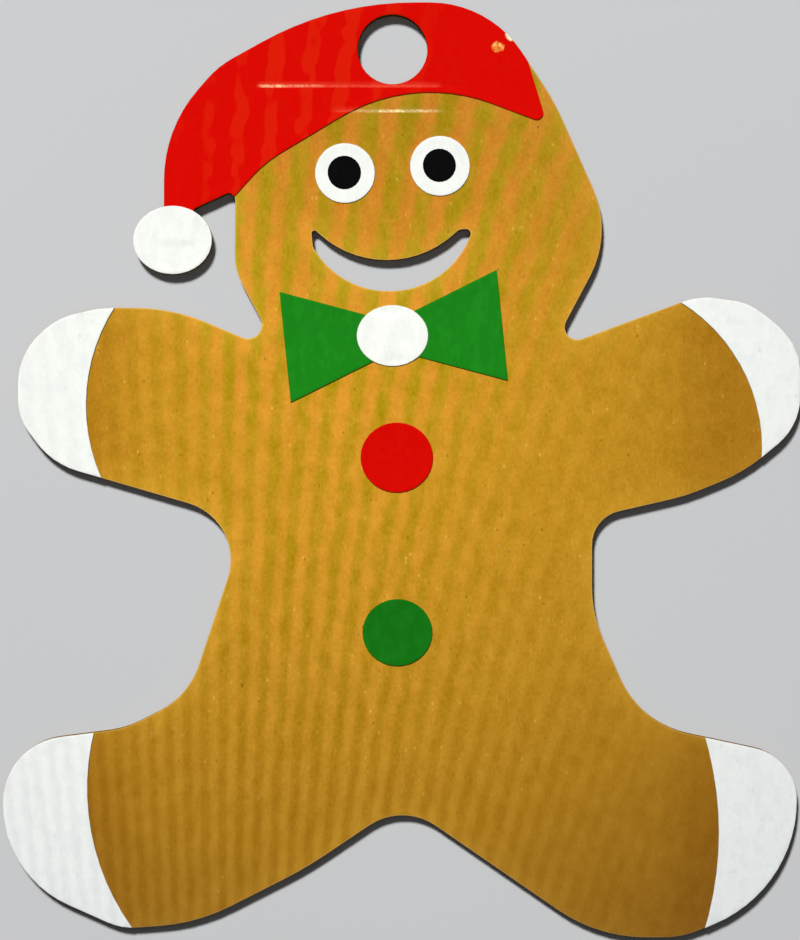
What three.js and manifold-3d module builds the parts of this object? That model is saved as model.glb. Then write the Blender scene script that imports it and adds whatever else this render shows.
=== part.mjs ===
// Gingerbread man cut from corrugated kraft board, with glued-on paper pieces.
// Millimetres, +Z up. It lies on its back: the face looks up along +Z, the head points along +Y
// and +X is to the right as one looks at the face. The origin is under the middle of the figure.
import * as THREE from 'three';
import { mergeVertices } from 'three/addons/utils/BufferGeometryUtils.js';
import Module from 'manifold-3d';

const wasm = await Module();
wasm.setup();

// ---------------------------------------------------------------- driving sizes
const figureHeight = 299.2;      // sole of the feet to the top of the hat
const figureWidth = 255.2;       // left foot to right hand
const linerThickness = 0.35;     // the flat kraft sheets of the board
const boardThickness = 4.2;      // back sheet, flutes and front sheet together
const flutePitch = 7.5;          // from crest to crest; the flutes run from head to feet
const fluteFacets = 8;           // flat facets in one flute, one of them the crest
const mediumThickness = 0.35;    // the fluted sheet, measured upright
const glueDepth = 0.1;           // how far a trough sinks into the glue on the back sheet
const paperThickness = 0.3;      // the coloured papers
const arcSag = 0.05;             // how far a flat facet may cut inside a round edge

const top = figureHeight / 2;
const side = figureWidth / 2;
const frontUnderside = boardThickness - linerThickness;
const firstPaper = boardThickness;                    // papers on the board
const secondPaper = firstPaper + paperThickness;      // papers on papers
const paperTop = secondPaper + paperThickness;
const clear = 1;                                      // how far a cutter reaches past the figure
const outside = 160;                                  // a place well outside the outline

// ---------------------------------------------------------------- outlines
// A closed outline through corners [x, y, radius], each rounded off by an arc of its radius.
function roundedShape(corners) {
  const outline = [];
  corners.forEach(([x, y, radius], i) => {
    const corner = new THREE.Vector2(x, y);
    const [backX, backY] = corners.at(i - 1);
    const [nextX, nextY] = corners[(i + 1) % corners.length];
    const back = new THREE.Vector2(backX - x, backY - y).normalize();
    const next = new THREE.Vector2(nextX - x, nextY - y).normalize();
    const half = Math.acos(back.dot(next)) / 2;
    if (radius === 0) {
      outline.push(corner);
      return;
    }
    const centre = back.clone().add(next).normalize().multiplyScalar(radius / Math.sin(half));
    centre.add(corner);
    const start = back.clone().multiplyScalar(radius / Math.tan(half)).add(corner).sub(centre);
    const turn = Math.PI - 2 * half;
    const direction = Math.sign(next.cross(back));
    outline.push(...arcPoints(centre, radius, radius, start.angle(), direction * turn));
  });
  return new THREE.Shape(outline);
}

// Points along an arc that starts at one angle and turns by another, as many as its size needs.
function arcPoints(centre, radiusX, radiusY, from, turn) {
  const facet = 2 * Math.acos(1 - arcSag / Math.max(radiusX, radiusY));
  const count = Math.max(1, Math.ceil(Math.abs(turn) / facet));
  return Array.from({ length: count + 1 }, (_, k) => {
    const angle = from + turn * k / count;
    return new THREE.Vector2(
      centre.x + radiusX * Math.cos(angle),
      centre.y + radiusY * Math.sin(angle));
  });
}

// A whole ellipse, given as its centre and its two radii.
function ellipseShape({ x, y, across, upright }) {
  const points = arcPoints(new THREE.Vector2(x, y), across, upright, 0, 2 * Math.PI);
  return new THREE.Shape(points.slice(0, -1));
}

// ---------------------------------------------------------------- solids
function toManifold(geometry) {
  const bare = geometry.clone();
  bare.deleteAttribute('normal');
  bare.deleteAttribute('uv');
  const merged = mergeVertices(bare, 1e-4);
  return new wasm.Manifold(new wasm.Mesh({
    numProp: 3,
    vertProperties: new Float32Array(merged.attributes.position.array),
    triVerts: new Uint32Array(merged.index.array),
  }));
}

function toGeometry(solid) {
  const mesh = solid.getMesh();
  const geometry = new THREE.BufferGeometry();
  geometry.setAttribute('position', new THREE.BufferAttribute(mesh.vertProperties, 3));
  geometry.setIndex(new THREE.BufferAttribute(mesh.triVerts, 1));
  return geometry;
}

// A flat sheet of an outline, from one height to another.
function sheet(shape, bottom, topHeight) {
  const depth = topHeight - bottom;
  const geometry = new THREE.ExtrudeGeometry(shape, { depth, bevelEnabled: false, steps: 1 });
  geometry.translate(0, 0, bottom);
  return toManifold(geometry);
}

// A cutter of an outline, through everything.
function cutter(shape) {
  return sheet(shape, -clear, paperTop + clear);
}

// ---------------------------------------------------------------- the figure's outline
// Counter-clockwise as seen from the face: crown, hat tip, and then each limb in turn.
const crown = [
  [27.9, top, 35], [-21.8, top, 100], [-58.6, 129.2, 30], [-76, 109.2, 44],
];
const hatTip = [[-76, 74, 0], [-68, 74, 0], [-66.4, 83.6, 1]];
const leftCheek = [[-53.2, 89.7, 2], [-53.4, 64, 20], [-39.2, 37.3, 4.5]];
const leftArm = [
  [-73.2, 51.9, 60], [-96.8, 51.9, 40], [-110.5, 48.5, 22], [-122.8, 37, 22],
  [-122.8, 17.1, 17], [-112, 2.1, 26], [-49.5, -16.1, 18.8],
];
const leftLeg = [
  [-68.2, -72.5, 26], [-88.6, -82.8, 30], [-side, -87.7, 21], [-side, -129.8, 35.5],
  [-89.4, -146.8, 20], [-65.4, -145.1, 60], [-30.9, -127.6, 120],
];
const crotch = [[0.4, -106.6, 18.8]];
const rightLeg = [
  [62.8, -top, 50], [89.8, -top, 30], [126.5, -134.2, 43], [126.5, -91.8, 17],
  [76.5, -81.2, 31],
];
const rightArm = [
  [61, -46, 40], [61, -15.2, 11], [91, -8.3, 60], [109.7, -0.7, 55], [side, 14.3, 20],
  [side, 40.4, 20], [111.5, 53.5, 20], [95.3, 55.8, 22],
];
const rightCheek = [[47.8, 38.3, 4], [67.7, 75.8, 32], [48.9, 118.1, 80]];
const bodyShape = roundedShape([
  ...crown, ...hatTip, ...leftCheek, ...leftArm, ...leftLeg, ...crotch, ...rightLeg,
  ...rightArm, ...rightCheek,
]);

const pompom = { x: -73.3, y: 73.6, across: 12.6, upright: 10.9 };
const hangHole = { x: -2.9, y: 134.6, across: 11.2, upright: 11.2 };

// The smile, from its pointed left end along the chin to its blunt right end and back.
const smile = roundedShape([
  [-29, 78, 0.9], [-28.3, 71.3, 2], [-19.6, 56.6, 27.6], [15.6, 58, 27.5], [22.9, 77.3, 1.5],
  [18.4, 76.9, 2.5], [-5.1, 56, 32],
]);

// The whole board between two heights: the body, the disc under the pompom and the two holes.
function cutOut(bottom, topHeight) {
  return sheet(bodyShape, bottom, topHeight)
    .add(sheet(ellipseShape(pompom), bottom, topHeight))
    .subtract(cutter(ellipseShape(hangHole)))
    .subtract(cutter(smile));
}

// ---------------------------------------------------------------- the board
// The wave of the fluted sheet across the figure. Its crests and troughs are flat facets, so the
// crests bear on the front sheet, and the troughs sink into the glue on the back sheet.
function fluteWave() {
  const low = linerThickness - glueDepth;
  const high = frontUnderside;
  const facet = 2 * Math.PI / fluteFacets;
  const swing = (high - low - mediumThickness) / 2;
  const flutes = Math.ceil(figureWidth / flutePitch / 2) + 1;
  const upper = [];
  for (let k = -flutes * fluteFacets; k <= flutes * fluteFacets; k += 1) {
    const phase = (k + 0.5) * facet;
    const x = phase / (2 * Math.PI) * flutePitch;
    upper.push([x, high - swing + swing * Math.cos(phase) / Math.cos(facet / 2)]);
  }
  const lower = upper.map(([x, z]) => [x, z - mediumThickness]).reverse();
  const section = new THREE.Shape([...upper, ...lower].map(([x, z]) => new THREE.Vector2(x, z)));
  const length = figureHeight + 2 * clear;
  const geometry = new THREE.ExtrudeGeometry(section, { depth: length, bevelEnabled: false, steps: 1 });
  geometry.rotateX(Math.PI / 2);
  geometry.translate(0, length / 2, 0);
  return toManifold(geometry);
}

const backSheet = cutOut(0, linerThickness);
const flutes = fluteWave().intersect(cutOut(0, boardThickness));
const flutedBack = backSheet.add(flutes);
const frontLiner = cutOut(frontUnderside, boardThickness);

// ---------------------------------------------------------------- papers on the board
// The hat covers all of the head above its brim, and its tail ends beside the right ear.
const hatRegion = roundedShape([
  [-57.5, 70, 0], [-57.5, 83, 0], [-43.8, 98.3, 40], [3.6, 126.8, 56], [46.6, 110.6, 2.2],
  [37.4, 140.8, 0], [37.4, outside, 0], [-outside, outside, 0], [-outside, 70, 0],
]);
const hat = sheet(bodyShape, firstPaper, secondPaper)
  .subtract(cutter(ellipseShape(hangHole)))
  .intersect(cutter(hatRegion));

// The pompom's underside steps over the hat tip that it is glued on.
const pompomPaper = sheet(ellipseShape(pompom), firstPaper, paperTop).subtract(hat);

// Each cap is the end of a limb, out of a quarter of the figure and beyond a big circle whose
// centre is on the body. The hands and feet are told apart by a level between them.
const level = -40;
const caps = {
  hand_cap_left: { x: -42.9, y: 20.8, radius: 58, quarter: [-outside, level, -85, 65] },
  hand_cap_right: { x: 60.5, y: 7, radius: 54.8, quarter: [85, level, outside, 65] },
  foot_cap_left: { x: -23.9, y: -101.8, radius: 76.6, quarter: [-outside, -outside, -85, level] },
  foot_cap_right: { x: -6.7, y: -116, radius: 108.2, quarter: [90, -outside, outside, level] },
};

function capPaper({ x, y, radius, quarter }) {
  const [left, low, right, high] = quarter;
  const region = [[left, low, 0], [right, low, 0], [right, high, 0], [left, high, 0]];
  const circle = { x, y, across: radius, upright: radius };
  return sheet(bodyShape, firstPaper, secondPaper)
    .intersect(cutter(roundedShape(region)))
    .subtract(cutter(ellipseShape(circle)));
}

// Eyes: a white disc with a black one on it, a little off its middle.
const eyes = {
  left: {
    white: { x: -18.1, y: 95, across: 9.6, upright: 9.6 },
    pupil: { x: -18.3, y: 95.2, across: 5.35, upright: 5.35 },
  },
  right: {
    white: { x: 12.3, y: 97.3, across: 9.6, upright: 9.6 },
    pupil: { x: 12.1, y: 97.5, across: 5.3, upright: 5.3 },
  },
};

// The bow tie is one paper, narrow in the middle, with an oval knot over it.
const bow = { x: -2.5, y: 42.8, reach: 34.9, end: 17.8, waist: 4.6, tilt: 5.8 };
const knot = { x: -2.9, y: 43, across: 11.4, upright: 9.8 };

function bowShape() {
  const turn = THREE.MathUtils.degToRad(bow.tilt);
  const middle = new THREE.Vector2(0, 0);
  const corners = [
    [-bow.reach, -bow.end], [0, -bow.waist], [bow.reach, -bow.end],
    [bow.reach, bow.end], [0, bow.waist], [-bow.reach, bow.end],
  ];
  return new THREE.Shape(corners.map(([x, y]) => {
    const corner = new THREE.Vector2(x, y).rotateAround(middle, turn);
    return corner.add(new THREE.Vector2(bow.x, bow.y));
  }));
}

const bowTie = sheet(bowShape(), firstPaper, secondPaper);
const bowKnot = sheet(ellipseShape(knot), firstPaper, paperTop).subtract(bowTie);

const buttons = {
  button_red: { x: -1.5, y: 4, across: 11.6, upright: 11.2 },
  button_green: { x: -1.3, y: -52, across: 11.2, upright: 10.7 },
};

// ---------------------------------------------------------------- the model
const kraft = { color: 0xc99433, roughness: 0.85 };
const white = { color: 0xf2f2ec, roughness: 0.75 };
const red = { color: 0xdc1e12, roughness: 0.6 };
const green = { color: 0x1f8425, roughness: 0.7 };
const black = { color: 0x101012, roughness: 0.6 };

const model = new THREE.Group();

function addPiece(name, solid, finish) {
  const material = new THREE.MeshStandardMaterial({ ...finish, metalness: 0 });
  const mesh = new THREE.Mesh(toGeometry(solid), material);
  mesh.name = name;
  model.add(mesh);
}

addPiece('fluted_back', flutedBack, kraft);
addPiece('front_liner', frontLiner, kraft);
addPiece('hat', hat, red);
addPiece('pompom', pompomPaper, white);
for (const [name, cap] of Object.entries(caps)) {
  addPiece(name, capPaper(cap), white);
}
for (const [place, eye] of Object.entries(eyes)) {
  addPiece(`eye_white_${place}`, sheet(ellipseShape(eye.white), firstPaper, secondPaper), white);
  addPiece(`pupil_${place}`, sheet(ellipseShape(eye.pupil), secondPaper, paperTop), black);
}
addPiece('bow_tie', bowTie, green);
addPiece('bow_knot', bowKnot, white);
addPiece('button_red', sheet(ellipseShape(buttons.button_red), firstPaper, secondPaper), red);
addPiece('button_green', sheet(ellipseShape(buttons.button_green), firstPaper, secondPaper), green);

export default model;
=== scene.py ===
# %% [markdown]
# # A gingerbread man cut from corrugated board
#
# The real thing is a flat figure cut from kraft board, with coloured papers glued on. The frame
# gives every piece its exact outline and height, so this lesson is about how such board and paper
# look from close by: the flutes inside the board, the faint washboard they press into its face,
# thin papers with edges that have lifted a little, and the fibres, stripes and scuffs on them.
#
# The first cell loads the frame and keeps its box, because nothing that is made here may leave it.

# %% Load the frame
import math
from contextlib import contextmanager

import bmesh
import bpy
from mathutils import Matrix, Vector
from mathutils.bvhtree import BVHTree
from mathutils.kdtree import KDTree


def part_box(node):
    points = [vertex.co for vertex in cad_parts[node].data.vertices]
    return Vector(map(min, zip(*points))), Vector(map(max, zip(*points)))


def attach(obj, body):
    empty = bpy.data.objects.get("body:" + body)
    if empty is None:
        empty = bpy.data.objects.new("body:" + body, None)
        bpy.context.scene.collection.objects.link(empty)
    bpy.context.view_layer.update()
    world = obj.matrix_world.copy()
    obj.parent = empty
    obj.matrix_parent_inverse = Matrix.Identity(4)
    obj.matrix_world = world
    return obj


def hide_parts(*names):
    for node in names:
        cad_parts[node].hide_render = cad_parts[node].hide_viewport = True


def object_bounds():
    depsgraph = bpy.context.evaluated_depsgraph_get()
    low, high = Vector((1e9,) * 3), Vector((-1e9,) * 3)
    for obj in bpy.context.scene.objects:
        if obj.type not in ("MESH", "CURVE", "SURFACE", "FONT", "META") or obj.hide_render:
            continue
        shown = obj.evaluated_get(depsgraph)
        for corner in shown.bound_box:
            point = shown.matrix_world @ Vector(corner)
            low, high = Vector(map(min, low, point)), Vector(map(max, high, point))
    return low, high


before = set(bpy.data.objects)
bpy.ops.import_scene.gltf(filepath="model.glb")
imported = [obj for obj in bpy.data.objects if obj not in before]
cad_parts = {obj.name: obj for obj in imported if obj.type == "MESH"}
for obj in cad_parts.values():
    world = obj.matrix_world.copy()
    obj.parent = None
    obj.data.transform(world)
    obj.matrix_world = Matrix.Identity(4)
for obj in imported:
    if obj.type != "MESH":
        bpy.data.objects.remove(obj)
cad_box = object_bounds()
print("the frame's box in mm:", [[round(c * 1000, 2) for c in corner] for corner in cad_box])

# %% [markdown]
# ## The sizes that the pieces share
#
# Blender counts in metres, and board is made in tenths of a millimetre, so the sizes are written in
# millimetres and multiplied once. Heights are read off the frame, so they can't drift from it.

# %% Sizes
MM = 0.001
LINER = 0.35 * MM                # the flat sheets of the board
PAPER = 0.3 * MM                 # the coloured papers
MEDIUM = 0.35 * MM               # the fluted sheet, measured upright
GLUE = 0.1 * MM                  # how far its troughs sink into the glue
FLUTE_PITCH = 7.5 * MM
FLUTE_SINK = 0.05 * MM           # how far the face sinks between two flutes
WELD = 0.1 * MM                  # corners nearer than this are one

board_low, board_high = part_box("front_liner")
FACE = board_high.z              # the face of the board
HOLLOW_TOP = board_low.z         # the underside of its front sheet
TOP = cad_box[1].z               # the top of papers that lie on papers
print(f"board {FACE / MM:.2f} mm thick, papers up to {TOP / MM:.2f} mm")

# %% [markdown]
# ## Working by hand, but in code
#
# Blender's operators act on whatever is selected. Three small helpers keep that in order: `take`
# makes one piece the only one selected, `edit_mode` opens it with nothing selected, and `pick`
# selects the faces or the edges that a test says yes to. A fourth applies a piece's modifiers.

# %% Selection helpers
def take(piece):
    bpy.ops.object.select_all(action="DESELECT")
    piece.select_set(True)
    bpy.context.view_layer.objects.active = piece


@contextmanager
def edit_mode(piece, kind="FACE"):
    take(piece)
    bpy.ops.object.mode_set(mode="EDIT")
    bpy.ops.mesh.select_mode(type=kind)
    bpy.ops.mesh.select_all(action="DESELECT")
    yield
    bpy.ops.object.mode_set(mode="OBJECT")


def pick(piece, kind, test):
    """Selects those "faces" or "edges" of a piece in edit mode that pass a test."""
    bpy.ops.mesh.select_all(action="DESELECT")
    mesh = bmesh.from_edit_mesh(piece.data)
    for part in getattr(mesh, kind):
        if test(part):
            part.select_set(True)
    bmesh.update_edit_mesh(piece.data)


def apply_modifiers(piece):
    take(piece)
    for modifier in list(piece.modifiers):
        bpy.ops.object.modifier_apply(modifier=modifier.name)


print("helpers: take, edit_mode, pick, apply_modifiers")

# %% [markdown]
# ## A clean copy of a frame's piece
#
# The outlines in the frame are right, but its meshes are loose triangles. A copy is welded, and its
# flat triangles are joined to whole faces again, as a person would draw them. Last, the upright
# edges of its walls are made exactly upright. The frame's own mesh is left as it is.

# %% Copy and weld
ONE_FACE = math.radians(0.3)      # neighbours that are bent by less than this are one face


def copy_of(node, name):
    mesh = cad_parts[node].data.copy()
    mesh.name = name
    mesh.materials.clear()
    piece = bpy.data.objects.new(name, mesh)
    bpy.context.scene.collection.objects.link(piece)
    with edit_mode(piece):
        bpy.ops.mesh.select_all(action="SELECT")
        bpy.ops.mesh.customdata_custom_splitnormals_clear()
        bpy.ops.mesh.remove_doubles(threshold=WELD)
        bpy.ops.mesh.dissolve_limited(angle_limit=ONE_FACE)
    corners = piece.data.vertices
    for edge in piece.data.edges:
        one, other = (corners[k].co for k in edge.vertices)
        if (one - other).to_2d().length < WELD:
            other.xy = one.xy
    return piece


outline = copy_of("front_liner", "outline")
print("the outline has", len(outline.data.vertices), "corners and", len(outline.data.polygons), "faces")

# %% [markdown]
# ## Rims
#
# Die-cut board and scissor-cut paper have no knife-sharp rim: the blade presses it down a little.
# A bevel of a tenth of a millimetre on the upper rim is enough to catch the light. A collar of
# faces is inset along the rim first, so that lifted edges, and the highlight and shade painted
# along rims, later have faces of their own.
# Where a rim has a sharp tip, a collar would fold over at a corner that lies too near to the tip, so
# such a corner is dissolved before that, which moves the rim by less than a tenth of a millimetre.
# Each vertex also gets a value called `rim`, 1 at a rim and 0 a collar's width away, that the
# materials can read. The distances are measured to points along the rim as it was before.

# %% What is a rim
COLLAR = 1 * MM
SHARP_TIP = 60                    # degrees between two walls that meet at a tip
ROUND = 30                        # degrees between two walls that go round a curve, at most
UP = 0.9                          # a face whose normal's z is above this looks up
WALL = 0.3                        # a face whose normal's z is within this of 0 is a wall


def looks_up(face):
    return face.normal.z > UP


def is_upper_rim(edge):
    if len(edge.link_faces) != 2:
        return False
    low, high = sorted(face.normal.z for face in edge.link_faces)
    return high > UP and abs(low) < WALL


def is_lower_rim(edge):
    if len(edge.link_faces) != 2:
        return False
    low, high = sorted(face.normal.z for face in edge.link_faces)
    return low < -UP and abs(high) < WALL


def is_upright(edge):
    a, b = (vertex.co for vertex in edge.verts)
    return (a - b).to_2d().length < WELD and len(edge.link_faces) == 2


def turn(edge):
    return math.degrees(edge.calc_face_angle())


def is_close_to_tip(edge):
    if not is_upright(edge) or turn(edge) > ROUND:
        return False
    for face in edge.link_faces:
        for other in face.edges:
            if other != edge and is_upright(other) and turn(other) > SHARP_TIP:
                gap = (other.verts[0].co - edge.verts[0].co).to_2d().length
                if gap < 2 * COLLAR:
                    return True
    return False


# %% Bevel and collar
def bevel_rim(piece, is_rim, width):
    with edit_mode(piece, "EDGE"):
        pick(piece, "edges", is_rim)
        bpy.ops.mesh.bevel(offset=width, segments=2, profile=0.5, affect="EDGES", clamp_overlap=True)


def finish_rim(piece, bevel):
    with edit_mode(piece, "EDGE"):
        pick(piece, "edges", is_close_to_tip)
        bpy.ops.mesh.dissolve_edges(use_verts=True)
    with edit_mode(piece):
        pick(piece, "faces", looks_up)
        bpy.ops.mesh.inset(thickness=COLLAR, use_boundary=True, use_even_offset=True)
    bevel_rim(piece, is_upper_rim, bevel)


# %% Distances to a rim
POINT_GAP = 0.25 * MM             # between two points along a rim


def rim_points(piece):
    """Points all along the lower rim of a piece."""
    mesh = bmesh.new()
    mesh.from_mesh(piece.data)
    points = []
    for edge in filter(is_lower_rim, mesh.edges):
        a, b = (vertex.co for vertex in edge.verts)
        steps = max(1, math.ceil((b - a).length / POINT_GAP))
        points += [a.lerp(b, k / steps) for k in range(steps)]
    mesh.free()
    return points


def tree_of(points):
    tree = KDTree(len(points))
    for k, point in enumerate(points):
        tree.insert((point.x, point.y, 0), k)
    tree.balance()
    return tree


def flat_distance(tree, point):
    return tree.find((point.x, point.y, 0))[2]


def smooth(value):
    value = min(1, max(0, value))
    return value * value * (3 - 2 * value)


def mark_rim(piece, tree, width=COLLAR, name="rim"):
    values = [1 - min(1, flat_distance(tree, v.co) / width) for v in piece.data.vertices]
    attribute = piece.data.attributes.new(name, "FLOAT", "POINT")
    attribute.data.foreach_set("value", values)


outline_rim = tree_of(rim_points(outline))
print("the outline is ready for measuring distances to it")

# %% [markdown]
# ## The washboard
#
# Where the front sheet is glued to a flute's crest it is held up, and between two crests it dries
# and sinks by some hundredths of a millimetre. The board was also bent twice across the hat, which
# left two shallow creases. To shape that, a piece is first cut into narrow strips with the bisect
# tool, and then each vertex is let down by what `sink` says. The papers go through the same cuts,
# so they lie on the board everywhere.

# %% Cuts and sink
STRIP = FLUTE_PITCH / 8
ROW = 25 * MM
CREASES = [                       # a crease's height on the figure, its left and right ends, depth
    (123.1 * MM, -46 * MM, 17 * MM, 0.07 * MM),
    (114.9 * MM, -26 * MM, 17 * MM, 0.06 * MM),
]
CREASE_WIDTH = 0.55 * MM
CREASE_CUTS = (-2, -1, -0.5, 0, 0.5, 1, 2)         # across a crease, in its widths
CREASE_FADE = 6 * MM
ON_THE_CUT = 1e-8                 # a corner nearer than this to a cut is on it


def sink(x, y):
    depth = FLUTE_SINK * (1 - math.cos(2 * math.pi * x / FLUTE_PITCH)) / 2
    for across, left, right, deep in CREASES:
        inside = smooth((x - left) / CREASE_FADE + 1) * smooth((right - x) / CREASE_FADE + 1)
        depth += deep * inside * math.exp(-((y - across) / CREASE_WIDTH) ** 2)
    return depth


def cut_at(piece, axis, places):
    normal = Vector((0, 0, 0))
    normal[axis] = 1
    low = min(v.co[axis] for v in piece.data.vertices) + WELD
    high = max(v.co[axis] for v in piece.data.vertices) - WELD
    with edit_mode(piece):
        for place in places:
            if low < place < high:
                bpy.ops.mesh.select_all(action="SELECT")
                bpy.ops.mesh.bisect(plane_co=normal * place, plane_no=normal, threshold=ON_THE_CUT)


def strips(piece, row=ROW):
    columns = math.ceil(cad_box[1].x / STRIP)
    cut_at(piece, 0, [k * STRIP for k in range(-columns, columns + 1)])
    count = math.ceil(cad_box[1].y / row)
    rows = [k * row for k in range(-count, count + 1)]
    for across, *_ in CREASES:
        rows += [across + k * CREASE_WIDTH for k in CREASE_CUTS]
    cut_at(piece, 1, rows)


def let_down(piece):
    for vertex in piece.data.vertices:
        vertex.co.z -= sink(vertex.co.x, vertex.co.y)


print("the face sinks", round(sink(FLUTE_PITCH / 2, 0) / MM, 3), "mm between two flutes")

# %% [markdown]
# ## The front sheet of the board
#
# The face of the board is the largest piece, and the one that carries the stripes. It is a copy of
# the frame's front sheet with a softened rim, cut in strips and let down between the flutes. It is
# also cut in rows, because its vertices carry one value more: `edge` falls from 1 at the cut edge
# to 0 at 12 millimetres from it, where the board has been handled and bleached a little.

# %% Front sheet
FACE_BEVEL = 0.14 * MM
FACE_ROW = 3 * MM
HANDLED = 12 * MM                 # how far in from the cut edge the face has been handled

front = copy_of("front_liner", "board_face")
finish_rim(front, FACE_BEVEL)
strips(front, FACE_ROW)
mark_rim(front, outline_rim)
mark_rim(front, outline_rim, HANDLED, "edge")
let_down(front)
print("board_face:", len(front.data.polygons), "faces")

# %% [markdown]
# ## The back sheet and the flutes
#
# The back sheet is a copy of the front one, let down to the floor. The frame's flutes have eight
# flat facets each, enough to weigh and to touch. A real fluted sheet is a smooth wave. It is made
# here from a flat grid, with one row of vertices for each 16th of a flute, that is waved by a cosine
# and extruded upright by the sheet's thickness. The figure's outline, drawn out to a tall block,
# then cuts it with a Boolean, as the die does.

# %% Back sheet
BACK_BEVEL = 0.1 * MM

back = copy_of("front_liner", "board_back")
for vertex in back.data.vertices:
    vertex.co.z -= HOLLOW_TOP
bevel_rim(back, is_lower_rim, BACK_BEVEL)
mark_rim(back, outline_rim)
print("board_back:", len(back.data.polygons), "faces")

# %% Flutes
STEPS = 16                        # grid steps in one flute
SPARE = 1.1                       # the grid is this many times as high as the figure

low, high = cad_box
flute_count = math.ceil(high.x / FLUTE_PITCH) + 1
span = 2 * flute_count * FLUTE_PITCH
bpy.ops.object.select_all(action="DESELECT")
bpy.ops.mesh.primitive_grid_add(x_subdivisions=2 * flute_count * STEPS, y_subdivisions=1, size=1)
flutes = bpy.context.object
flutes.name = flutes.data.name = "flutes"
trough = LINER - GLUE
middle = (trough + HOLLOW_TOP + MEDIUM) / 2
swing = (HOLLOW_TOP - trough - MEDIUM) / 2
for vertex in flutes.data.vertices:
    vertex.co.x *= span
    vertex.co.y *= SPARE * (high.y - low.y)
    vertex.co.z = middle + swing * math.cos(2 * math.pi * vertex.co.x / FLUTE_PITCH)
with edit_mode(flutes):
    bpy.ops.mesh.select_all(action="SELECT")
    bpy.ops.mesh.extrude_region_move(TRANSFORM_OT_translate={"value": (0, 0, -MEDIUM)})
    bpy.ops.mesh.select_all(action="SELECT")
    bpy.ops.mesh.normals_make_consistent(inside=False)
print(2 * flute_count, "flutes before the cut")

# %% The die cuts the flutes
DIE_REACH = 1 * MM                # how far the die stands out below and above the board

die = outline.copy()
die.data = outline.data.copy()
die.name = "die"
bpy.context.scene.collection.objects.link(die)
for vertex in die.data.vertices:
    is_low = vertex.co.z < (HOLLOW_TOP + FACE) / 2
    vertex.co.z = -DIE_REACH if is_low else FACE + DIE_REACH
press = flutes.modifiers.new("die", "BOOLEAN")
press.operation = "INTERSECT"
press.solver = "EXACT"
press.object = die
apply_modifiers(flutes)
bpy.data.objects.remove(die)
mark_rim(flutes, outline_rim)
print("flutes:", len(flutes.data.polygons), "faces")

# %% [markdown]
# ## Papers
#
# Each paper starts as a copy of its own piece of the frame, so its outline is exact. Scissors and
# glue leave the edge of such a paper a little proud of the board, which casts the fine dark line
# round it, and the paper's material paints a line of shade along its rim as well. So every rim that
# doesn't run along the cut edge of the board is lifted by a tenth of a millimetre or two, fading out
# over two millimetres. Only the pupils are glued down flat.

# %% Paper helper
PAPER_BEVEL = 0.06 * MM
LIFT = 0.16 * MM
SMALL_LIFT = 0.1 * MM
LIFT_WIDTH = 2.2 * MM
SHARED_RIM = 0.6 * MM             # a rim nearer than this to the board's is cut with the board


def lift_rim(piece, rim, lift):
    free = [p for p in rim if flat_distance(outline_rim, p) > SHARED_RIM]
    if not free or not lift:
        return
    tree = tree_of(free)
    for vertex in piece.data.vertices:
        vertex.co.z += lift * (1 - smooth(flat_distance(tree, vertex.co) / LIFT_WIDTH))


def make_paper(node, name, lift=LIFT):
    piece = copy_of(node, name)
    rim = rim_points(piece)
    finish_rim(piece, PAPER_BEVEL)
    strips(piece)
    mark_rim(piece, tree_of(rim))
    let_down(piece)
    lift_rim(piece, rim, lift)
    print(f"{name}: {len(piece.data.polygons)} faces")
    return piece


# %% Papers on the board
hat = make_paper("hat", "hat_paper")
hand_left = make_paper("hand_cap_left", "hand_paper_left")
hand_right = make_paper("hand_cap_right", "hand_paper_right")
foot_left = make_paper("foot_cap_left", "foot_paper_left")
foot_right = make_paper("foot_cap_right", "foot_paper_right")
bow = make_paper("bow_tie", "bow_paper")
button_red = make_paper("button_red", "red_button_paper")
button_green = make_paper("button_green", "green_button_paper")
eye_left = make_paper("eye_white_left", "eye_paper_left", lift=SMALL_LIFT)
eye_right = make_paper("eye_white_right", "eye_paper_right", lift=SMALL_LIFT)
pupil_left = make_paper("pupil_left", "pupil_paper_left", lift=0)
pupil_right = make_paper("pupil_right", "pupil_paper_right", lift=0)

# %% [markdown]
# ## Papers that lie over another paper
#
# The pompom is glued over the tip of the hat, and the knot over the bow. A real paper drapes: it
# steps up onto the lower one over two or three millimetres. Each starts as a disc of the piece's
# own size, is cut in a fine grid, laid on what is under it and given its thickness by a Solidify
# modifier.

# %% A disc cut in a grid
DISC_CORNERS = 96


def make_disc(name, low, high):
    centre, size = (low + high) / 2, high - low
    bpy.ops.object.select_all(action="DESELECT")
    bpy.ops.mesh.primitive_circle_add(vertices=DISC_CORNERS, radius=0.5, fill_type="NGON")
    piece = bpy.context.object
    piece.name = piece.data.name = name
    for vertex in piece.data.vertices:
        vertex.co.x = vertex.co.x * size.x + centre.x
        vertex.co.y = vertex.co.y * size.y + centre.y
    return piece


def cut_in_grid(piece, low, high):
    with edit_mode(piece):
        bpy.ops.mesh.select_all(action="SELECT")
        bpy.ops.mesh.inset(thickness=COLLAR, use_even_offset=True)
    strips(piece)
    rows = math.ceil((high.y - low.y) / MM)
    cut_at(piece, 1, [low.y + k * MM for k in range(1, rows)])


# %% Drape and thickness
DRAPE = 2.6 * MM                  # how far out a step in the paper below is felt
DRAPED_LIFT = 0.12 * MM
DRAPED_BEVEL = 0.05 * MM
RIM_ANGLE = math.radians(60)      # edges bent by more than this are rims


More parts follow.
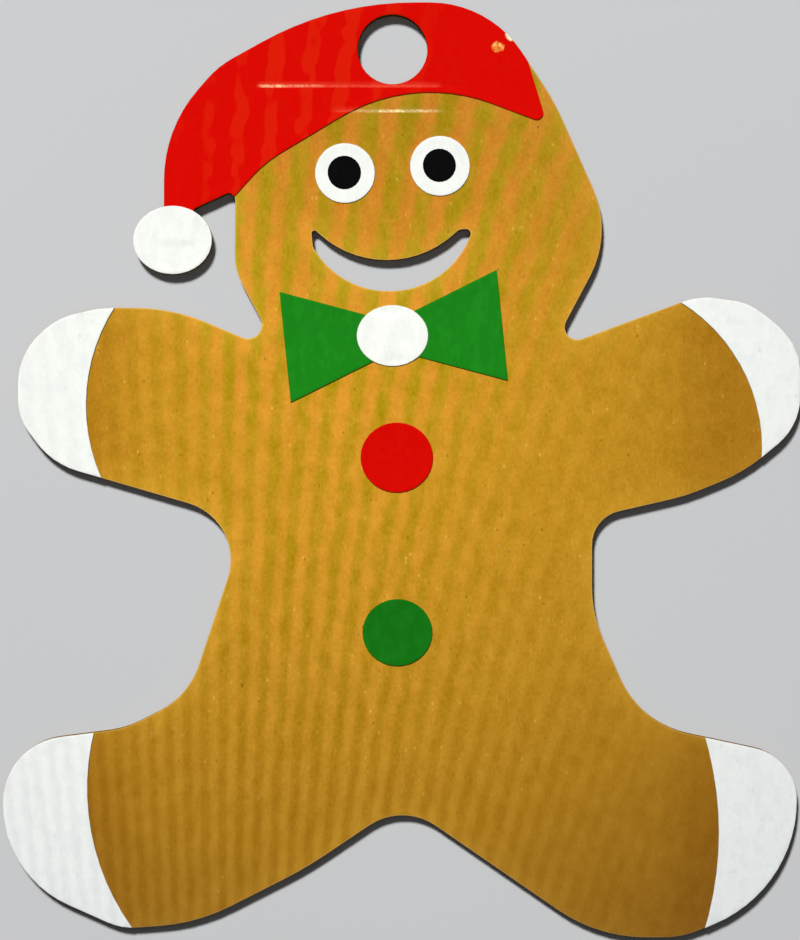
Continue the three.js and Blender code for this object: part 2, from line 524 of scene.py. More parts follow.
def drape(piece, rim, below):
    step = BVHTree.FromObject(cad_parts[below], bpy.context.evaluated_depsgraph_get())
    for vertex in piece.data.vertices:
        place = Vector((vertex.co.x, vertex.co.y, FACE))
        away = step.find_nearest(place)[3]
        over = 1 - smooth(away / DRAPE)
        free = flat_distance(outline_rim, place) > SHARED_RIM
        edge = 1 - smooth(flat_distance(rim, place) / LIFT_WIDTH)
        lift = DRAPED_LIFT * edge * (1 - over) if free else 0
        vertex.co.z = FACE + PAPER * (1 + over) + lift - sink(place.x, place.y)


def thicken(piece):
    thick = piece.modifiers.new("thickness", "SOLIDIFY")
    thick.thickness = PAPER
    thick.offset = -1
    soft = piece.modifiers.new("rim", "BEVEL")
    soft.width = DRAPED_BEVEL
    soft.segments = 2
    soft.limit_method = "ANGLE"
    soft.angle_limit = RIM_ANGLE
    apply_modifiers(piece)


# %% Pompom and knot
def make_draped(node, name, below):
    low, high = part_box(node)
    piece = make_disc(name, low, high)
    rim = tree_of([v.co.copy() for v in piece.data.vertices])
    cut_in_grid(piece, low, high)
    mark_rim(piece, rim)
    drape(piece, rim, below)
    thicken(piece)
    top = max(vertex.co.z for vertex in piece.data.vertices)
    print(f"{name}: {len(piece.data.polygons)} faces, top {top / MM:.2f} mm")
    return piece


pompom = make_draped("pompom", "pompom_paper", "hat")
knot = make_draped("bow_knot", "knot_paper", "bow_tie")

# %% [markdown]
# ## Fibres, stripes, wear and painted light as node groups
#
# Board and paper share their looks: fibres and small flecks, stripes where flutes press through,
# painted highlights along the creases, and painted shade that deepens away from the middle. Each
# is one node group, built once. Where materials differ in how much of it they show, the group has a
# named input for that, and every material sets its own value on it. The groups put out masks and
# heights only. The shader itself stays in the material.

# %% [markdown]
# ### Helpers for nodes
#
# A node takes several lines of code: it is made, its options are set, and its sockets get values or
# links. `add` does all of that, and the small helpers on top of it read like the sums that they
# stand for. The Mix node has sockets with the same names for every kind of data, so `mix` gives
# them by number.

# %% Nodes for sums and places
def add(tree, kind, inputs=None, **settings):
    """Adds a node, sets its options, and fills its sockets with values or links."""
    node = tree.nodes.new(kind)
    for option, value in settings.items():
        setattr(node, option, value)
    for socket, value in (inputs or {}).items():
        if isinstance(value, bpy.types.NodeSocket):
            tree.links.new(value, node.inputs[socket])
        else:
            node.inputs[socket].default_value = value
    return node


def math_node(tree, operation, *values):
    return add(tree, "ShaderNodeMath", dict(enumerate(values)), operation=operation).outputs[0]


def vector_node(tree, operation, *values):
    """The node itself, since some operations put out a vector and others a value."""
    return add(tree, "ShaderNodeVectorMath", dict(enumerate(values)), operation=operation)


def distance(tree, place, point):
    return vector_node(tree, "DISTANCE", place, point).outputs["Value"]


def object_place(tree):
    """Where a point of the surface lies, in metres."""
    return add(tree, "ShaderNodeTexCoord").outputs["Object"]


def split(tree, place):
    """The x, y and z of a place."""
    return add(tree, "ShaderNodeSeparateXYZ", {0: place}).outputs


def product(tree, *values):
    total = values[0]
    for value in values[1:]:
        total = math_node(tree, "MULTIPLY", total, value)
    return total


# %% Nodes for masks, colours and noise
def ramp(tree, value, from_low, from_high, to_low=0.0, to_high=1.0, kind="SMOOTHSTEP"):
    node = add(tree, "ShaderNodeMapRange", {
        "Value": value, "From Min": from_low, "From Max": from_high,
        "To Min": to_low, "To Max": to_high}, interpolation_type=kind)
    return node.outputs["Result"]


def curve(tree, value, *stops):
    """A value that goes through the given levels, each stop being a place and its level."""
    low, high = stops[0][0], stops[-1][0]
    share = ramp(tree, value, low, high, kind="LINEAR")
    node = add(tree, "ShaderNodeValToRGB", {"Fac": share})
    node.color_ramp.interpolation = "EASE"
    points = node.color_ramp.elements
    while len(points) < len(stops):
        points.new(0.5)
    for point, (at, level) in zip(points, stops):
        point.position = (at - low) / (high - low)
        point.color = (level, level, level, 1)
    return node.outputs["Color"]


def mix(tree, factor, first, second, blend="MIX"):
    node = add(tree, "ShaderNodeMix", {0: factor, 6: first, 7: second},
               data_type="RGBA", blend_type=blend)
    return node.outputs[2]


def noise(tree, place, scale, detail=2.0, roughness=0.5):
    node = add(tree, "ShaderNodeTexNoise", {
        "Vector": place, "Scale": scale, "Detail": detail, "Roughness": roughness})
    return node.outputs["Fac"]


# %% Node groups
def new_group(name, inputs, outputs):
    tree = bpy.data.node_groups.new(name, "ShaderNodeTree")
    for title, value in inputs.items():
        socket = tree.interface.new_socket(title, in_out="INPUT", socket_type="NodeSocketFloat")
        socket.default_value = value
    for title in outputs:
        tree.interface.new_socket(title, in_out="OUTPUT", socket_type="NodeSocketFloat")
    given = tree.nodes.new("NodeGroupInput")
    result = tree.nodes.new("NodeGroupOutput")
    return tree, given.outputs, result


def put_out(tree, result, **values):
    for title, value in values.items():
        tree.links.new(value, result.inputs[title])


def use(tree, group, **inputs):
    node = tree.nodes.new("ShaderNodeGroup")
    node.node_tree = group
    for title, value in inputs.items():
        node.inputs[title].default_value = value
    return node.outputs


print("node helpers are ready")

# %% [markdown]
# ### Fibres
#
# Kraft and craft paper are a felt of fibres. From a hand's length away that shows as soft patches
# of a few millimetres, a finer grain, and scattered flecks: pale ones from bleached fibres, and dark
# specks of bark. The fibres run along the machine that made the sheet, so the patterns are drawn out
# along y. Noise gives the patches and the grain, and a Voronoi pattern the flecks, where the random
# colour of each cell decides which cells have one. They show most where the patches are pale. The
# group's inputs say how strongly a material shows its pale flecks and its dark specks.

# %% Group: fibres
DRAWN_OUT = (1.0, 0.6, 1.0)       # patterns are stretched along y by one over 0.6
PATCHES, GRAINS, CELLS = 340.0, 1200.0, 700.0      # about how many of each there are in a metre
FLECKED, SPECKED = 0.82, 0.86     # a cell has a fleck, or a speck, if its random colour is above this

fibres, given, result = new_group(
    "fibres", {"Flecks": 0.0, "Specks": 0.0}, ["Patch", "Grain", "Pale", "Dark"])
place = vector_node(fibres, "MULTIPLY", object_place(fibres), DRAWN_OUT).outputs[0]
patch = noise(fibres, place, PATCHES, detail=1.0)
grain = noise(fibres, place, GRAINS, roughness=0.6)
cells = add(fibres, "ShaderNodeTexVoronoi", {
    "Vector": place, "Scale": CELLS, "Randomness": 1.0}).outputs
chance = add(fibres, "ShaderNodeSeparateColor", {0: cells["Color"]}).outputs
ragged = math_node(fibres, "MULTIPLY_ADD", grain, 0.4, cells["Distance"])
clustered = ramp(fibres, patch, 0.42, 0.6, 0.3, 1.0)
spot = math_node(fibres, "MULTIPLY", clustered, ramp(fibres, ragged, 0.32, 0.52, 1.0, 0.0))
flecked = ramp(fibres, chance[0], FLECKED, 1.0, kind="LINEAR")
specked = ramp(fibres, chance[1], SPECKED, 1.0, kind="LINEAR")
pale = product(fibres, spot, flecked, given["Flecks"])
dark = product(fibres, spot, specked, given["Specks"])
put_out(fibres, result, Patch=patch, Grain=grain, Pale=pale, Dark=dark)
print("group fibres:", len(fibres.nodes), "nodes")

# %% [markdown]
# ### Stripes
#
# The flutes show through the face as soft stripes. The sheet took them up unevenly, so they fan out
# and lean towards the head. Counting in decimetres, there are about 12 stripes to one, fewer
# towards the head, and a cosine of their phase makes the wave. Noise roughens it. One output is for
# hue: it swings between 0 and 1 where stripes are strong, which is on the head and the left of the
# body, and rests at a half where they fade. The input `Least` keeps it from fading altogether. The
# other output is for lightness, a painted shade of the washboard. It swings about 0, most of all on
# the belly and the left leg, and the input `Streaks` says by how much.

# %% Group: stripes, their wave
DECIMETRES = (10.0, 10.0, 10.0)   # how many make a metre, each way
COUNT_BY_Y = (12.1, -3.54, 0.42)  # stripes in a decimetre: at the middle, then by y and by y squared
COUNT_BY_X = (-1.1, 0.3)          # what x and x squared add to that
LEAN = (-0.34, -2.26, 0.17)       # how many stripes the middle is off by: plain, by y and y squared
WANDER = 0.3                      # how many stripes the noise shifts them by
WANDERS, FUZZ = 170.0, 330.0      # about how many of each noise there are in a metre
ROUGHEN = 2.4                     # how strongly the fuzz roughens the wave

stripes, given, result = new_group("flute stripes", {"Least": 0.0, "Streaks": 0.0}, ["Stripe", "Shade"])
place = object_place(stripes)
x, y, _ = split(stripes, vector_node(stripes, "MULTIPLY", place, DECIMETRES).outputs[0])


def times_plus(value, factor, plus):
    return math_node(stripes, "MULTIPLY_ADD", value, factor, plus)


def powers(value, plain, single, squared):
    return times_plus(value, times_plus(value, squared, single), plain)


count = powers(x, powers(y, *COUNT_BY_Y), *COUNT_BY_X)
phase = times_plus(x, count, powers(y, *LEAN))
wander = math_node(stripes, "SUBTRACT", noise(stripes, place, WANDERS), 0.5)
phase = times_plus(wander, WANDER, phase)
wave = math_node(stripes, "COSINE", math_node(stripes, "MULTIPLY", phase, 2 * math.pi))
wave = ramp(stripes, wave, -0.95, 0.95, -1.0, 1.0)
drawn = vector_node(stripes, "MULTIPLY", place, DRAWN_OUT).outputs[0]
fuzz = math_node(stripes, "SUBTRACT", noise(stripes, drawn, FUZZ, detail=0.0), 0.5)
rough_wave = times_plus(fuzz, ROUGHEN, wave)
print("the wave of the stripes:", len(stripes.nodes), "nodes so far")

# %% Group: stripes, where they are strong
RISE_FROM = -0.1                  # above this height, in decimetres, the strong stripes reach
REACH = 0.3                       # further to the right, by this much for each decimetre up

leftward = times_plus(math_node(stripes, "MAXIMUM", y, RISE_FROM), -REACH, x)
strength = product(
    stripes,
    curve(stripes, leftward, (-0.5, 0.88), (-0.25, 1.0), (0.04, 0.9), (0.15, 0.54), (0.28, 0.45),
          (0.34, 0.32), (0.5, 0.15), (0.9, 0.05)),
    curve(stripes, x, (-1.0, 0.15), (-0.75, 0.37), (-0.5, 1.0)),
    curve(stripes, y, (-1.1, 0.0), (-0.7, 0.17), (-0.2, 0.38), (0.05, 0.42), (0.25, 0.64), (0.7, 0.98)))
strength = math_node(stripes, "MAXIMUM", strength, given["Least"])
swing = math_node(stripes, "MULTIPLY", rough_wave, strength)
put_out(stripes, result, Stripe=ramp(stripes, swing, -1.35, 1.35))
depth = product(
    stripes,
    curve(stripes, x, (-0.85, 0.78), (-0.42, 1.0), (-0.2, 1.0), (0.0, 0.84), (0.25, 0.66), (0.42, 0.57),
          (0.6, 0.36), (0.9, 0.1)),
    curve(stripes, y, (-1.1, 0.12), (-0.7, 0.095), (-0.2, 0.075), (0.3, 0.06), (0.9, 0.005)))
soft_wave = math_node(stripes, "ADD", fuzz, wave)
put_out(stripes, result, Shade=product(stripes, soft_wave, depth, given["Streaks"]))
print("group flute stripes:", len(stripes.nodes), "nodes")

# %% [markdown]
# ### Tone
#
# Painted shade makes the board and the papers darker away from the middle, most towards the feet,
# where the light falls off. The first mask says how far a point lies from the most brightly lit
# place, below the left half of the bow. The second is for the last centimetres before the hands and
# feet, which are darker and browner. The third is a painted shade on the face round the eyes.

# %% Group: tone
# the most brightly lit place, where the painted shade is none
BRIGHTEST_LIT = (-18.7 * MM, 27 * MM, FACE)
FAR = 215 * MM                    # the distance at which the painted shade is all the way down
FALL = 1.67                       # above 1, it falls off slowly at first
LAST = (78 * MM, 102 * MM)        # where the limbs start to get darker and browner, and where they are most so
EYES = (-5 * MM, 96 * MM, FACE)   # the place between the two eyes
EYE_SHADE_FADE = (16 * MM, 50 * MM)       # how far from there the painted shade starts and ends to fade

tone, given, result = new_group("tone", {}, ["Far", "Ends", "Glued"])
place = object_place(tone)
far_shade = math_node(tone, "DIVIDE", distance(tone, place, BRIGHTEST_LIT), FAR)
far_shade = math_node(tone, "POWER", far_shade, FALL)
ends = ramp(tone, math_node(tone, "ABSOLUTE", split(tone, place)[0]), *LAST)
eye_shade = ramp(tone, distance(tone, place, EYES), *EYE_SHADE_FADE, 1.0, 0.0)
put_out(tone, result, Far=far_shade, Ends=ends, Glued=eye_shade)
print("group tone:", len(tone.nodes), "nodes")

# %% [markdown]
# ### Creases and scuffs
#
# The board was bent twice across the hat. Along a crease a fine pale line is a painted highlight,
# in a few stretches only, with a faint painted halo of glow along it. The input `Glow` says how
# strong a material's halo is.
# Scuffs are the places near the hat's right rim that have lost their colour. At the rim itself the
# paper is torn down to its white core.

# %% Group: creases
# all in mm: a line's height, then how strong its painted core and halo are at places from left to right
CREASE_LINES = (
    (122.8,
     ((-46.5, 0.0), (-44, 0.7), (-40, 0.9), (-36, 0.3), (-28, 0.35), (-24, 0.06), (11, 0.04),
      (14, 0.0)),
     ((-47, 0.0), (-44, 0.8), (-25, 0.6), (-13, 0.4), (-6, 0.7), (5, 0.7), (10, 0.4), (14, 0.0))),
    (114.85,
     ((-22, 0.0), (-20, 0.08), (-15, 0.1), (-12.5, 0.5), (-5, 0.8), (0, 1.0), (4, 0.8), (9, 0.5),
      (14, 0.0)),
     ((-24, 0.0), (-20, 0.3), (-4, 0.3), (1, 0.6), (8, 0.3), (16, 0.0))),
)
ACROSS_CORE = ((-0.6, 0.0), (-0.15, 1.0), (0.2, 1.0), (0.75, 0.0))
ACROSS_HALO = ((-0.7, 0.0), (0.0, 1.0), (0.7, 0.7), (1.9, 0.0))
BREAKS = 700.0                    # about how many breaks a core has in a metre

creases, given, result = new_group("creases", {"Stretch": 0.0}, ["Core", "Halo"])
place = object_place(creases)
x, y, _ = split(creases, place)
broken = ramp(creases, noise(creases, place, BREAKS, roughness=0.6), 0.38, 0.6, 0.3, 1.0)


def in_mm(tree, value, stops):
    return curve(tree, value, *((at * MM, level) for at, level in stops))


cores, halos = [], []
for height, core_levels, halo_levels in CREASE_LINES:
    above = math_node(creases, "SUBTRACT", y, height * MM)
    core, halo = in_mm(creases, above, ACROSS_CORE), in_mm(creases, above, ACROSS_HALO)
    cores.append(product(creases, core, in_mm(creases, x, core_levels), broken))
    halos.append(product(creases, halo, in_mm(creases, x, halo_levels)))
halo = math_node(creases, "MAXIMUM", *halos)
put_out(creases, result, Core=math_node(creases, "MAXIMUM", *cores),
        Halo=math_node(creases, "MULTIPLY", halo, given["Stretch"]))
print("group creases:", len(creases.nodes), "nodes")

# %% Group: scuffs
SCUFFS = ((30.6, 135.4, 1.9), (31.5, 135.3, 1.6))          # x, y and radius in mm
TORN = ((35.5, 139.4, 2.4),)
RAGGED = 1.4 * MM                 # how far noise eats into a bare place
BITES = 900.0                     # about how many bites it takes in a metre
BARE_FADE = 0.8                   # how wide its rim is, in mm
FLATTEN = (1.0, 1.0, 0.0)

scuffs, given, result = new_group("scuffs", {}, ["Scuff", "Torn"])
place = object_place(scuffs)
flat = vector_node(scuffs, "MULTIPLY", place, FLATTEN).outputs[0]
ragged = math_node(scuffs, "MULTIPLY", noise(scuffs, place, BITES, roughness=0.6), RAGGED)


def bare_places(places):
    bare = 0.0
    for x_mm, y_mm, radius in places:
        away = distance(scuffs, flat, (x_mm * MM, y_mm * MM, 0))
        away = math_node(scuffs, "ADD", away, ragged)
        spot = ramp(scuffs, away, radius * MM, (radius + BARE_FADE) * MM, 1.0, 0.0)
        bare = math_node(scuffs, "MAXIMUM", bare, spot)
    return bare


put_out(scuffs, result, Scuff=bare_places(SCUFFS), Torn=bare_places(TORN))
print("group scuffs:", len(scuffs.nodes), "nodes")

# %% [markdown]
# ## Materials
#
# One function makes the start of every material: a Principled shader whose uniform numbers are set
# on its own sockets. Another adds a Bump that turns fibre height into fine relief. What each finish
# adds is only its colours and how strongly it takes stripes, flecks and tone.

# %% Material helpers
UNCHANGED = (1, 1, 1, 1)          # what a colour is multiplied by to stay as it is


def start_material(name, roughness, specular):
    material = bpy.data.materials.new(name)
    material.use_nodes = True
    tree = material.node_tree
    shader = tree.nodes["Principled BSDF"]
    shader.inputs["Specular IOR Level"].default_value = specular
    shader.inputs["Roughness"].default_value = roughness
    return material, tree, shader


def relief(tree, shader, fibre, strength, depth):
    height = math_node(tree, "ADD", fibre["Patch"], fibre["Grain"])
    bump = add(tree, "ShaderNodeBump", {
        "Height": height, "Strength": strength, "Distance": depth})
    tree.links.new(bump.outputs["Normal"], shader.inputs["Normal"])


def attribute_value(tree, name):
    return add(tree, "ShaderNodeAttribute", attribute_name=name).outputs["Fac"]


LIGHTER = (1.65, 1.12, 0.15)      # what one step adds to the red, green and blue of kraft


def vary(tree, colour, steps):
    """Makes a colour paler or darker by steps that may be above or below zero."""
    return vector_node(tree, "MULTIPLY_ADD", steps, LIGHTER, colour).outputs[0]


def swing_of(tree, value, size):
    """A noise value of about 0.5, as a step of the given size to either side of zero."""
    return math_node(tree, "MULTIPLY", math_node(tree, "SUBTRACT", value, 0.5), size)


def deepen(tree, colour, tones, far_shade, ends=UNCHANGED):
    """Painted shade: multiplies a colour more and more by `far_shade` away from the middle, and by
    `ends` at the ends.
    """
    colour = mix(tree, tones["Far"], colour, far_shade, "MULTIPLY")
    return mix(tree, tones["Ends"], colour, ends, "MULTIPLY")


# %% [markdown]
# ### Kraft
#
# The face of the board swings between a warm orange and an olive yellow from stripe to stripe, and
# has a coarse fibre. Painted shade makes it darker and browner towards the feet, where the light
# falls off, and the fibre shows less there. Towards the cut edge, where it was handled, it gets a
# little paler, and a pale highlight is painted along its rim. The back is the same board without
# the stripes. The fluted sheet is painted darker, a little for its own darker kraft and most as the
# shade between the flutes, where little light gets in. A cut edge is painted dark, as shade.

# %% Kraft
PALE_FIBRE = (0.95, 0.53, 0.1, 1)
BARK = (0.24, 0.09, 0.006, 1)
# a pale highlight painted along the rim
RIM_HIGHLIGHT_KRAFT = (0.88, 0.6, 0.15, 1)
# painted glow and highlight along the creases
CREASE_GLOW_KRAFT = (0.9, 0.6, 0.2, 1)
CREASE_HIGHLIGHT_KRAFT = (1.0, 0.86, 0.42, 1)
EYE_SHADE_TONE = (0.93, 0.9, 0.9, 1)  # painted shade: what the colour is multiplied by round the eyes
AWAY_SHADE = (0.64, 0.64, 0.64, 1)  # painted shade far from the most brightly lit place
HANDLED_STEP = 0.044               # how many steps paler the cut edge is


def make_kraft(name, warm, olive, striped=False, far_shade=AWAY_SHADE, ends=UNCHANGED, rim_highlight=0.0):
    material, tree, shader = start_material(name, roughness=0.85, specular=0.05)
    fibre = use(tree, fibres, Flecks=0.72, Specks=0.7)
    tones = use(tree, tone)
    clear = ramp(tree, tones["Far"], 0.3, 0.65, 1.0, 0.45)
    grain = product(tree, swing_of(tree, fibre["Grain"], 0.14), clear)
    steps = math_node(tree, "ADD", grain, swing_of(tree, fibre["Patch"], 0.1))
    if striped:
        stripe = use(tree, stripes, Streaks=0.26)
        hue = stripe["Stripe"]
        # painted shade of the washboard, along the stripes
        steps = math_node(tree, "ADD", steps, stripe["Shade"])
        handled = math_node(tree, "POWER", attribute_value(tree, "edge"), 2.0)
        steps = math_node(tree, "MULTIPLY_ADD", handled, HANDLED_STEP, steps)
    else:
        hue = ramp(tree, fibre["Patch"], 0.3, 0.7)
    colour = mix(tree, hue, olive, warm)
    colour = mix(tree, product(tree, fibre["Pale"], clear), colour, PALE_FIBRE)
    colour = mix(tree, product(tree, fibre["Dark"], clear), colour, BARK)
    colour = vary(tree, colour, steps)
    # a pale highlight painted along the rim
    highlighted_rim = ramp(tree, attribute_value(tree, "rim"), 0.4, 0.9, 0.0, rim_highlight)
    colour = mix(tree, highlighted_rim, colour, RIM_HIGHLIGHT_KRAFT)
    colour = deepen(tree, colour, tones, far_shade, ends)
    if striped:
        # painted shade round the eyes
        colour = mix(tree, tones["Glued"], colour, EYE_SHADE_TONE, "MULTIPLY")
        # painted glow and highlight along the creases
        crease = use(tree, creases, Stretch=0.2)
        colour = mix(tree, crease["Halo"], colour, CREASE_GLOW_KRAFT)
        colour = mix(tree, crease["Core"], colour, CREASE_HIGHLIGHT_KRAFT)
    tree.links.new(colour, shader.inputs["Base Color"])
    relief(tree, shader, fibre, strength=0.25, depth=0.06 * MM)
    return material


kraft_face = make_kraft(
    "kraft_face", (0.705, 0.278, 0.0231, 1), (0.473, 0.310, 0.0077, 1), striped=True,
    far_shade=(0.367, 0.314, 0.512, 1), ends=(0.882, 0.818, 0.731, 1), rim_highlight=0.4)
kraft_plain = make_kraft("kraft_plain", (0.62, 0.31, 0.03, 1), (0.55, 0.28, 0.025, 1), rim_highlight=0.2)
# painted shade: the fluted sheet is darker, as little light gets in between the flutes
kraft_medium_shaded = make_kraft("kraft_medium_shaded", (0.30, 0.14, 0.014, 1), (0.24, 0.115, 0.011, 1))
# painted shade: the cut edge is dark, as its walls lie in shade
kraft_cut_shaded = make_kraft("kraft_cut_shaded", (0.26, 0.13, 0.02, 1), (0.16, 0.07, 0.01, 1))
print("kraft: face, plain, medium and cut")

# %% [markdown]
# ### Coloured papers
#
# The papers are smoother and denser than the board. The flutes show through them as faint streaks
# of painted shade, and each has its own weakness: the hat's red shows warm bands, a painted
# highlight along two creases and a scuff or two, green is mottled where the glue took, white shows
# grey streaks of painted shade and the odd dark hair, and black shows dust. The buttons are cut
# from a red and a green of their own. The line is painted shade along the rim.

# %% Paper finishes
# painted glow and highlight along the hat's creases
CREASE_GLOW_RED = (0.92, 0.07, 0.035, 1)
CREASE_HIGHLIGHT_RED = (1.0, 0.68, 0.36, 1)
SCUFFED_RED = (0.75, 0.16, 0.015, 1)
SCUFFED_BARE = (0.95, 0.52, 0.14, 1)
TORN_CORE = (1.0, 0.84, 0.52, 1)
DUST = (0.9, 0.85, 0.75, 1)
HAIR = (0.03, 0.03, 0.03, 1)
LEAST_BANDS = 0.35                # papers keep this share of the stripes where the board has none


def red_wear_and_highlights(tree, colour, fibre):
    """The painted highlights along the hat's two creases, its scuffs and its torn spot."""
    crease = use(tree, creases, Stretch=0.7)
    colour = mix(tree, crease["Halo"], colour, CREASE_GLOW_RED)
    colour = mix(tree, crease["Core"], colour, CREASE_HIGHLIGHT_RED)
    scuff = use(tree, scuffs)
    bare = mix(tree, ramp(tree, fibre["Grain"], 0.42, 0.62), SCUFFED_RED, SCUFFED_BARE)
    colour = mix(tree, scuff["Scuff"], colour, bare)
    return mix(tree, scuff["Torn"], colour, TORN_CORE)


def make_paper_finish(name, main, light, line, far_shade=UNCHANGED, banding=0.0, band_levels=None,
                      mottle=0.0, grain=0.03, streaks=0.0, pale=0.0, dark=0.0, line_share=0.6,
                      wear_and_highlights=None):
    """Colours of one paper, and how much it takes of each pattern."""
    material, tree, shader = start_material(name, roughness=0.75, specular=0.01)
    fibre = use(tree, fibres, Flecks=pale, Specks=dark)
    stripe = use(tree, stripes, Least=LEAST_BANDS, Streaks=streaks)
    band = ramp(tree, stripe["Stripe"], 0.36, 0.12, 0.0, banding)
    if band_levels:
        x = split(tree, object_place(tree))[0]
        band = math_node(tree, "MULTIPLY", band, in_mm(tree, x, band_levels))
    cloud = ramp(tree, fibre["Patch"], 0.42, 0.72, 0.0, mottle)
    colour = mix(tree, math_node(tree, "MAXIMUM", band, cloud), main, light)
    colour = mix(tree, fibre["Pale"], colour, DUST)
    colour = mix(tree, fibre["Dark"], colour, HAIR)
    grains = ramp(tree, fibre["Grain"], 0.3, 0.7, 1 - grain, 1 + grain, "LINEAR")
    # painted shade of the washboard, along the stripes
    shade = product(tree, grains, math_node(tree, "ADD", stripe["Shade"], 1.0))
    colour = mix(tree, 1.0, colour, shade, "MULTIPLY")
    colour = deepen(tree, colour, use(tree, tone), far_shade)
    # painted shade: a dark line along the rim
    outlined = ramp(tree, attribute_value(tree, "rim"), 0.78, 1.0, 0.0, line_share)
    colour = mix(tree, outlined, colour, line)
    if wear_and_highlights:
        colour = wear_and_highlights(tree, colour, fibre)
    tree.links.new(colour, shader.inputs["Base Color"])
    relief(tree, shader, fibre, strength=0.12, depth=0.05 * MM)
    return material


# %% The papers' own colours
red_finish = make_paper_finish(
    "red_paper", main=(0.669, 0.0024, 0.0006, 1), light=(0.698, 0.0107, 0.0018, 1),
    line=(0.25, 0.004, 0.002, 1), far_shade=(0.95, 1, 1, 1), banding=1.0,
    band_levels=((-75, 0.45), (-50, 1.0), (-18, 1.0), (26, 0.0)), mottle=0.1, dark=0.1, wear_and_highlights=red_wear_and_highlights)
plain_red_finish = make_paper_finish(
    "plain_red_paper", main=(0.655, 0.0024, 0.0006, 1), light=(0.69, 0.006, 0.0012, 1),
    line=(0.25, 0.004, 0.002, 1), banding=0.25, mottle=0.4, dark=0.1)
green_finish = make_paper_finish(
    "green_paper", main=(0.0105, 0.217, 0.0093, 1), light=(0.0148, 0.257, 0.0145, 1),
    line=(0.004, 0.06, 0.004, 1), far_shade=(0.6, 0.6, 0.6, 1), banding=0.2, mottle=0.7, streaks=0.25,
    pale=0.01, dark=0.03)
deep_green_finish = make_paper_finish(
    "deep_green_paper", main=(0.0073, 0.156, 0.0066, 1), light=(0.01, 0.181, 0.01, 1),
    line=(0.004, 0.06, 0.004, 1), banding=0.2, mottle=0.7, streaks=0.25, pale=0.01, dark=0.03)
white_finish = make_paper_finish(
    "white_paper", main=(0.931, 0.952, 0.883, 1), light=(0.834, 0.864, 0.822, 1),
    line=(0.33, 0.27, 0.2, 1), far_shade=(0.807, 0.811, 0.871, 1), banding=0.25, mottle=0.5, grain=0.025,
    streaks=0.3, dark=0.12, line_share=0.7)
black_finish = make_paper_finish(
    "black_paper", main=(0.003, 0.003, 0.0034, 1), light=(0.0045, 0.0045, 0.0047, 1),
    line=(0.001, 0.001, 0.001, 1), banding=0.3, mottle=0.4, grain=0.05, pale=0.004, line_share=0.5)
print("papers: two reds, two greens, white, black")

# %% [markdown]
# ## Finishing the pieces
#
# Every piece rides on the frame's one body, stands for a node of the frame, takes its finishes,
# and is shaded smooth except across its rims. The back sheet and the flutes stand for the same
# node.

# %% Finish and place
SMOOTH_BELOW = math.radians(35)


def settle(piece, slot, finish, *nodes, cut=None, inside=None):
    """`cut` is the finish of a piece's walls and `inside` that of its upper face."""
    finishes = [finish] + [other for other in (cut, inside) if other]
    piece.data.materials.clear()
    for each in finishes:
        piece.data.materials.append(each)
    for polygon in piece.data.polygons:
        if cut and abs(polygon.normal.z) < WALL:
            polygon.material_index = finishes.index(cut)
        if inside and polygon.normal.z > UP:
            polygon.material_index = finishes.index(inside)
    take(piece)
    bpy.ops.object.shade_smooth_by_angle(angle=SMOOTH_BELOW)
    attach(piece, "root")
    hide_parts(*nodes)


settle(front, "kraft_board", kraft_face, "front_liner", cut=kraft_cut_shaded)
settle(back, "kraft_board", kraft_plain, "fluted_back", cut=kraft_cut_shaded, inside=kraft_medium_shaded)
settle(flutes, "kraft_board", kraft_medium_shaded, "fluted_back", cut=kraft_cut_shaded)
settle(hat, "red_paper", red_finish, "hat")
settle(pompom, "white_paper", white_finish, "pompom")
settle(hand_left, "white_paper", white_finish, "hand_cap_left")
settle(hand_right, "white_paper", white_finish, "hand_cap_right")
settle(foot_left, "white_paper", white_finish, "foot_cap_left")
settle(foot_right, "white_paper", white_finish, "foot_cap_right")
settle(eye_left, "white_paper", white_finish, "eye_white_left")
settle(eye_right, "white_paper", white_finish, "eye_white_right")
settle(pupil_left, "black_paper", black_finish, "pupil_left")
settle(pupil_right, "black_paper", black_finish, "pupil_right")
settle(bow, "green_paper", green_finish, "bow_tie")
settle(knot, "white_paper", white_finish, "bow_knot")
settle(button_red, "red_paper", plain_red_finish, "button_red")
settle(button_green, "green_paper", deep_green_finish, "button_green")
bpy.data.objects.remove(outline)

# %% [markdown]
# ## Floor, light and camera
#
# The figure lies on a plain pale floor, and the camera looks straight down on it. A lamp far up and
# to the left throws the thin, fairly crisp shadows, and a weak, broad one right above opens them a
# little. The floor gets paler away from the figure, which keeps it pale where less light falls.

# %% Floor
FLOOR_GAP = 0.05 * MM             # below the board, so the two faces don't share a place
FLOOR_NEAR = (0.54, 0.55, 0.56, 1), (0.58, 0.585, 0.59, 1)
FLOOR_FAR = (0.85, 0.855, 0.86, 1)

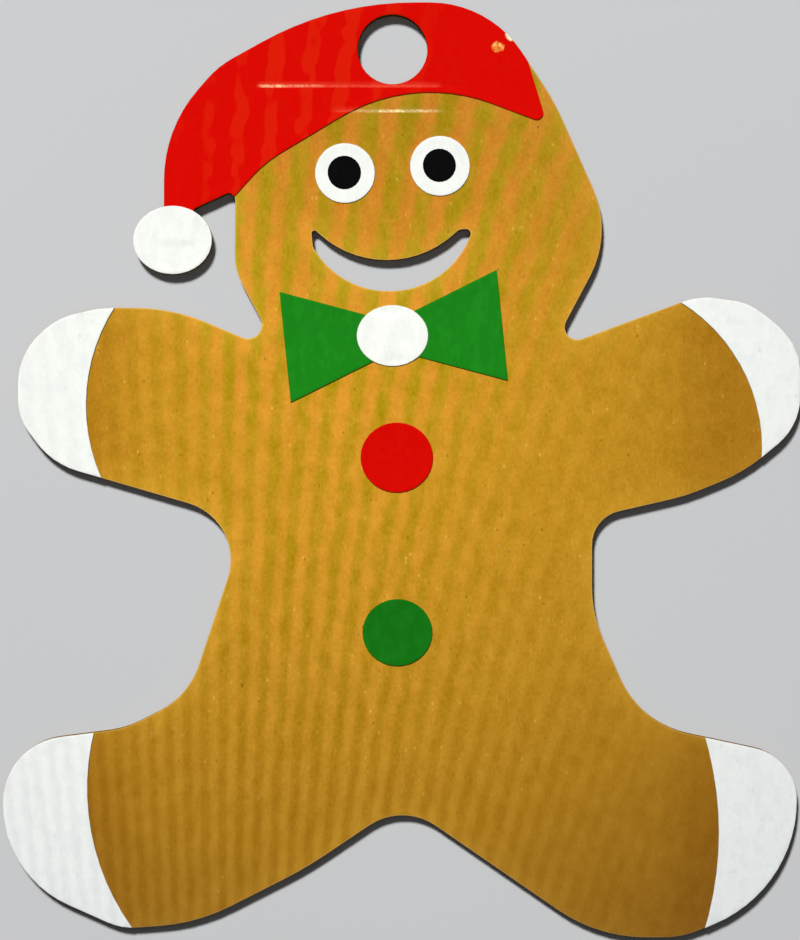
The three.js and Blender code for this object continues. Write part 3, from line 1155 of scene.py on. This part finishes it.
bpy.ops.object.select_all(action="DESELECT")
bpy.ops.mesh.primitive_plane_add(size=10, location=(0, 0, -FLOOR_GAP))
floor = bpy.context.object
floor.name = floor.data.name = "floor"
floor_finish, tree, shader = start_material("floor", roughness=0.9, specular=0.1)
place = object_place(tree)
colour = mix(tree, noise(tree, place, 3.0), *FLOOR_NEAR)
away = vector_node(tree, "LENGTH", place).outputs["Value"]
colour = mix(tree, ramp(tree, away, 0.3, 2.0), colour, FLOOR_FAR)
tree.links.new(colour, shader.inputs["Base Color"])
floor.data.materials.append(floor_finish)


# %% Light
SKY = (0.95, 0.97, 1.0, 1)
SKY_STRENGTH = 0.035


def area_lamp(name, place, target, size, power):
    lamp = bpy.data.lights.new(name, "AREA")
    lamp.shape = "DISK"
    lamp.size = size
    lamp.energy = power
    holder = bpy.data.objects.new(name, lamp)
    holder.location = place
    holder.rotation_euler = (Vector(target) - Vector(place)).to_track_quat("-Z", "Y").to_euler()
    bpy.context.scene.collection.objects.link(holder)


area_lamp("key", place=(-1.0, 2.56, 4.0), target=(0, 0, 0), size=0.8, power=272.0)
area_lamp("fill", place=(0, -0.02, 0.6), target=(0, -0.02, 0), size=0.4, power=0.2)
world = bpy.data.worlds.new("studio")
world.use_nodes = True
background = world.node_tree.nodes["Background"].inputs
background["Color"].default_value = SKY
background["Strength"].default_value = SKY_STRENGTH
bpy.context.scene.world = world
bpy.context.scene.view_settings.view_transform = "Standard"
print("lamps:", ", ".join(lamp.name for lamp in bpy.data.lights))

# %% Camera
PIXEL = 0.32 * MM                 # one pixel on the board's face
PICTURE_HEIGHT = 940
PICTURE_MIDDLE = -0.48 * MM       # along x
DISTANCE = 900 * MM
SENSOR = 36.0                     # in millimetres, as Blender has it

lens = bpy.data.cameras.new("camera")
lens.sensor_width = SENSOR
lens.lens = SENSOR * DISTANCE / (PICTURE_HEIGHT * PIXEL)
camera = bpy.data.objects.new("camera", lens)
camera.location = (PICTURE_MIDDLE, 0, FACE + DISTANCE)
bpy.context.scene.collection.objects.link(camera)
bpy.context.scene.camera = camera
print("lens", round(lens.lens, 2), "mm")
